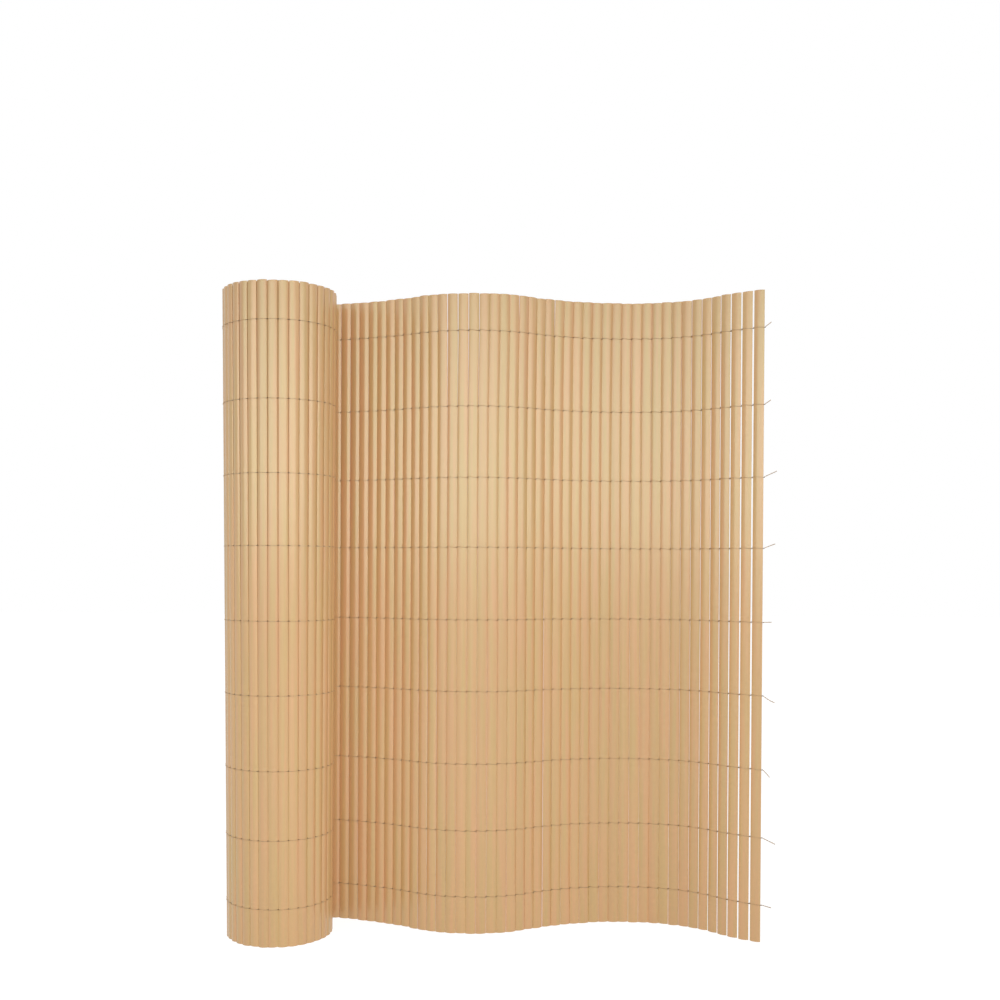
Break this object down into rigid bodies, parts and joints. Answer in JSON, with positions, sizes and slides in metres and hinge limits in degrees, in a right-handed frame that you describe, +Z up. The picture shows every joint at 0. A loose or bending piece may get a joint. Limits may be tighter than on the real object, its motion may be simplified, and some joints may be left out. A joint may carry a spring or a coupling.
{
  "type": "pvc screening mat",
  "caption": "Slatted plastic privacy mat standing on its lower edge, part rolled up and part opened out in a wave, with its slats held side by side by rows of cord.",
  "frame": {"origin": "middle of the standing mat's plan box, on the ground", "axes": "+Z up along the slats, +X from the roll towards the sheet's free end, +Y from the seen face to the back"},
  "size_m": [0.7605, 0.1577, 0.9],
  "materials": {
    "slat_pvc": "satin bamboo beige",
    "cord": "twisted synthetic yarn"
  },
  "bodies": {
    "root": {"cord_1": "cord", "cord_2": "cord", "cord_3": "cord", "cord_4": "cord", "cord_5": "cord", "cord_6": "cord", "cord_7": "cord", "cord_8": "cord", "cord_9": "cord", "roll": "slat_pvc", "slat_01": "slat_pvc", "slat_02": "slat_pvc", "slat_03": "slat_pvc", "slat_04": "slat_pvc", "slat_05": "slat_pvc", "slat_06": "slat_pvc", "slat_07": "slat_pvc", "slat_08": "slat_pvc", "slat_09": "slat_pvc", "slat_10": "slat_pvc", "slat_11": "slat_pvc", "slat_12": "slat_pvc", "slat_13": "slat_pvc", "slat_14": "slat_pvc", "slat_15": "slat_pvc", "slat_16": "slat_pvc", "slat_17": "slat_pvc", "slat_18": "slat_pvc", "slat_19": "slat_pvc", "slat_20": "slat_pvc", "slat_21": "slat_pvc", "slat_22": "slat_pvc", "slat_23": "slat_pvc", "slat_24": "slat_pvc", "slat_25": "slat_pvc", "slat_26": "slat_pvc", "slat_27": "slat_pvc", "slat_28": "slat_pvc", "slat_29": "slat_pvc", "slat_30": "slat_pvc", "slat_31": "slat_pvc", "slat_32": "slat_pvc", "slat_33": "slat_pvc", "slat_34": "slat_pvc", "slat_35": "slat_pvc", "slat_36": "slat_pvc", "slat_37": "slat_pvc", "slat_38": "slat_pvc", "slat_39": "slat_pvc", "slat_40": "slat_pvc", "slat_41": "slat_pvc", "slat_42": "slat_pvc", "slat_43": "slat_pvc", "slat_44": "slat_pvc", "slat_45": "slat_pvc", "slat_46": "slat_pvc", "slat_47": "slat_pvc", "slat_48": "slat_pvc", "slat_49": "slat_pvc"}
  },
  "joints": []
}
